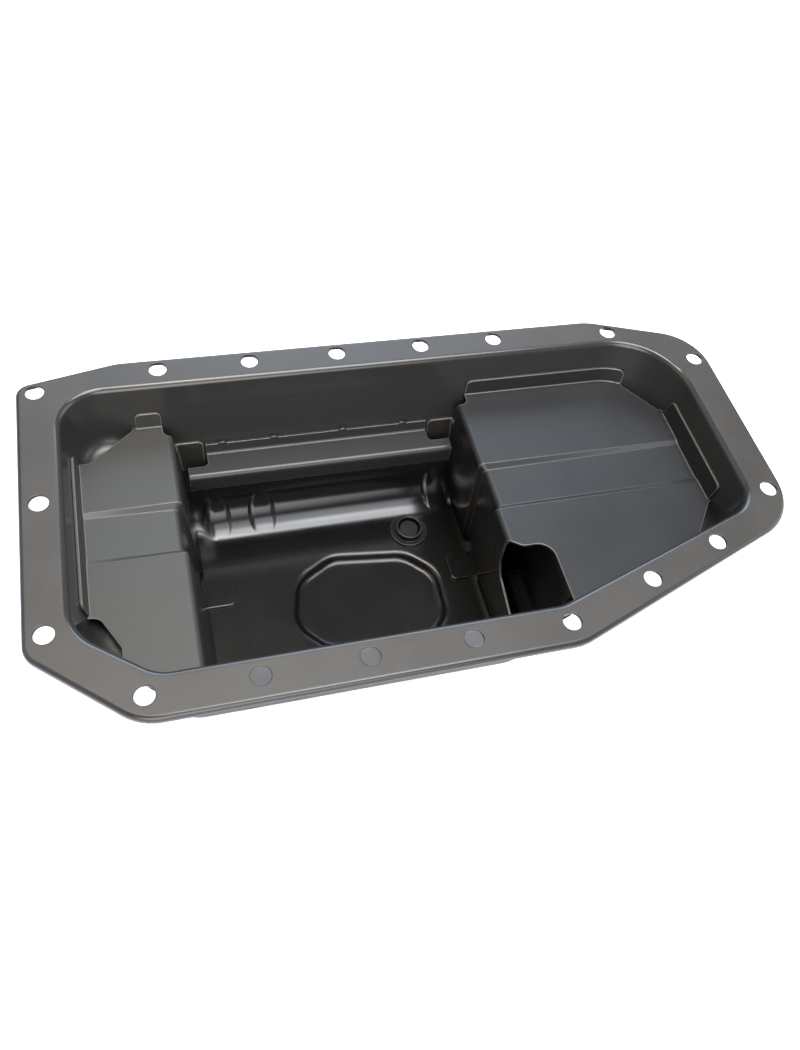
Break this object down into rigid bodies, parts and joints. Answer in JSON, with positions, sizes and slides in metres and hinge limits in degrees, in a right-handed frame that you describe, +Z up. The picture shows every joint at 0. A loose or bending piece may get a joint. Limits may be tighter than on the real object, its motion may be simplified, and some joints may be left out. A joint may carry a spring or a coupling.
{
  "type": "engine oil pan",
  "caption": "Pressed-steel engine oil pan with a bolting flange, a deep sump, welded baffles over its shallow ends and a drain plug.",
  "frame": {"origin": "on the ground, under the middle of the flange", "axes": "+X along the crankshaft to the shallow end with the large baffle, +Y across the engine, +Z up, out of the gasket face"},
  "size_m": [0.392, 0.204, 0.109],
  "materials": {
    "black_coat": "semi-gloss black electro-coat",
    "baffle_coat": "semi-gloss black electro-coat",
    "washer_metal": "satin",
    "plug_steel": "turned"
  },
  "bodies": {
    "pan": {"pan_shell": "black_coat", "left_baffle": "baffle_coat", "right_baffle": "baffle_coat", "rear_rail": "baffle_coat", "drain_boss": "black_coat"},
    "washer": {"drain_washer": "washer_metal"},
    "plug": {"drain_plug": "plug_steel"}
  },
  "joints": [
    {"name": "plug_travel", "type": "slide", "parent": "pan", "child": "washer", "axis": [0, 0, -1], "range_m": [0, 0.006]},
    {"name": "plug_turn", "type": "hinge", "parent": "washer", "child": "plug", "pos_m": [0.016, 0.035, 0.0025], "axis": [0, 0, -1], "range_deg": [0, 1440]}
  ],
  "couplings": [
    {"joint": "plug_travel", "follows": "plug_turn", "m_per_rad": 0.0002387}
  ]
}
